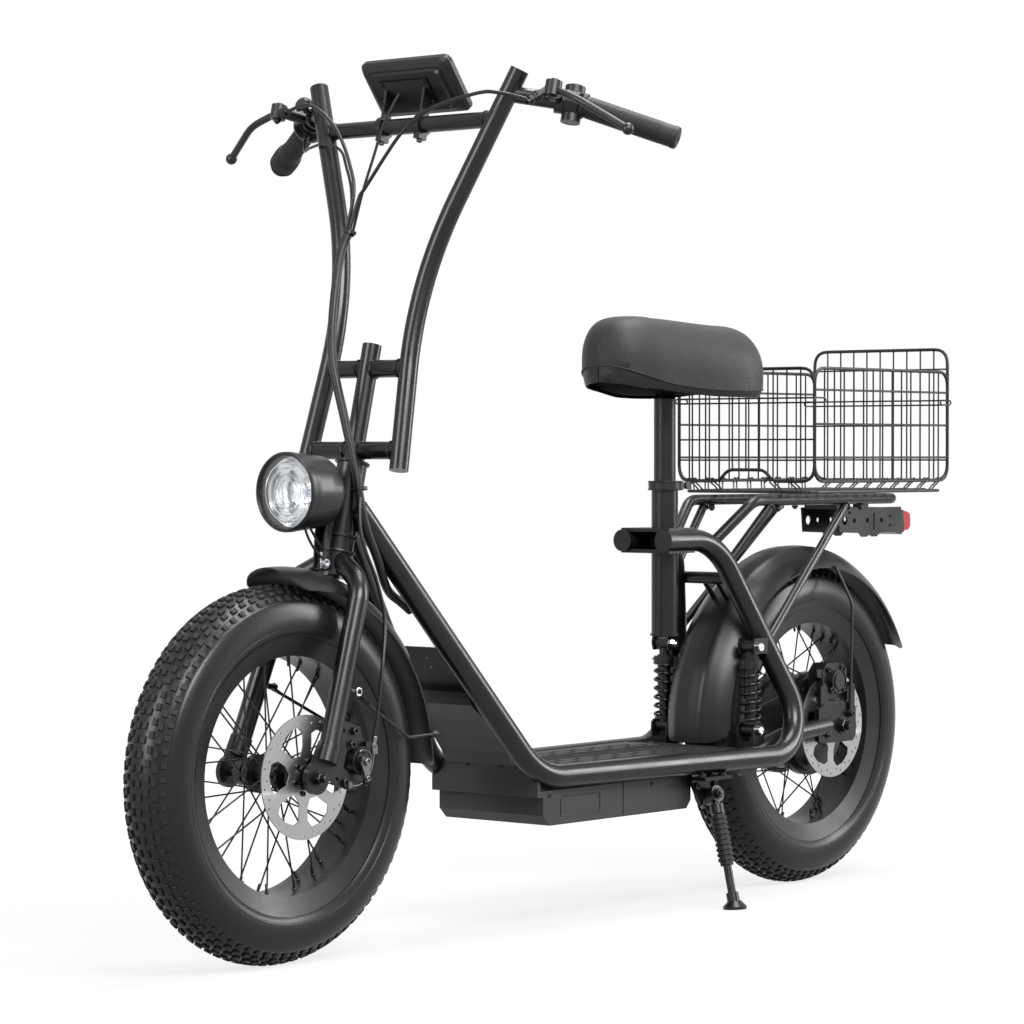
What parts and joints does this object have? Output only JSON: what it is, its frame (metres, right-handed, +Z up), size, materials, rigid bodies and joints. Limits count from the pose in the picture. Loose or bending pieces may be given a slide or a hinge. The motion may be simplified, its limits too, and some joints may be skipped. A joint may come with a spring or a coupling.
{
  "type": "electric scooter",
  "caption": "Seated fat-tyre electric scooter with tall handlebar frame, step-through tube frame, rear swingarm, rack, wire basket and side stand.",
  "frame": {"origin": "on the ground under the centre of the bounding box, with the scooter leaning 3 degrees to its left on its side stand", "axes": "+X forward to the front wheel, +Y to the rider's left, +Z up"},
  "size_m": [1.6729, 0.729, 1.1912],
  "materials": {
    "tyre": "matte rubber",
    "black_alloy": "black anodised satin",
    "black_spokes": "black satin",
    "disc_steel": "brushed",
    "zinc_steel": "zinc plated",
    "black_paint": "satin powder coat",
    "fender_plastic": "satin",
    "caliper_alloy": "matte",
    "grip_rubber": "matte",
    "black_plastic": "satin",
    "display_plastic": "gloss",
    "reflector_chrome": "mirror",
    "clear_lens": "clear",
    "mat_rubber": "moulded matte",
    "seat_leather": "grained artificial leather",
    "spring_steel": "satin",
    "black_wire": "powder coated wire",
    "red_lens": "gloss",
    "cable_rubber": "satin"
  },
  "bodies": {
    "frame": {"rear_axle": "zinc_steel", "main_frame": "black_paint", "front_cover": "black_paint", "battery_box": "black_paint", "deck_plate": "black_paint", "deck_mat": "mat_rubber", "stand_bracket": "black_paint", "seat_clamp": "black_alloy", "seat_post": "black_paint", "saddle_base": "black_plastic", "saddle_cushion": "seat_leather", "swingarm": "black_paint", "shocks": "black_paint", "shock_springs": "spring_steel", "rear_caliper": "caliper_alloy", "rear_fender": "fender_plastic", "rear_fender_stay": "black_paint", "rack": "black_paint", "basket": "black_wire", "tail_light_bracket": "black_paint", "tail_light_body": "black_plastic", "tail_light_lens": "red_lens", "cable_sleeve": "cable_rubber"},
    "steering": {"fork": "black_paint", "brake_cables": "cable_rubber", "front_fender": "fender_plastic", "front_fender_stay": "zinc_steel", "front_caliper": "caliper_alloy", "handlebar": "black_paint", "grips": "grip_rubber", "brake_levers": "black_alloy", "switch_pod": "black_plastic", "throttle": "black_plastic", "bell": "black_plastic", "display_bracket": "black_plastic", "display": "display_plastic", "headlight_body": "black_plastic", "headlight_reflector": "reflector_chrome", "headlight_lens": "clear_lens", "headlight_bracket": "black_paint", "front_axle": "zinc_steel"},
    "front_wheel": {"front_tyre": "tyre", "front_rim": "black_alloy", "front_spokes": "black_spokes", "front_hub": "black_alloy", "front_disc": "disc_steel"},
    "rear_wheel": {"rear_tyre": "tyre", "rear_rim": "black_alloy", "rear_spokes": "black_spokes", "hub_motor": "black_alloy", "rear_disc": "disc_steel"},
    "side_stand": {"side_stand": "black_paint", "stand_sleeve": "grip_rubber"}
  },
  "joints": [
    {"name": "steering", "type": "hinge", "parent": "frame", "child": "steering", "pos_m": [0.45315, -0.02558, 0.58633], "axis": [-0.2419, 0.0508, 0.969], "range_deg": [-40, 40], "deforming": ["cable_sleeve"]},
    {"name": "front_wheel", "type": "hinge", "parent": "steering", "child": "front_wheel", "pos_m": [0.5915, -0.04348, 0.24477], "axis": [0, 0.9986, -0.0523], "continuous": true},
    {"name": "rear_wheel", "type": "hinge", "parent": "frame", "child": "rear_wheel", "pos_m": [-0.5605, -0.04348, 0.24477], "axis": [0, 0.9986, -0.0523], "continuous": true},
    {"name": "side_stand", "type": "hinge", "parent": "frame", "child": "side_stand", "pos_m": [-0.1995, 0.07133, 0.16165], "axis": [0.1275, 0.9586, 0.2547], "range_deg": [0, 95]}
  ]
}
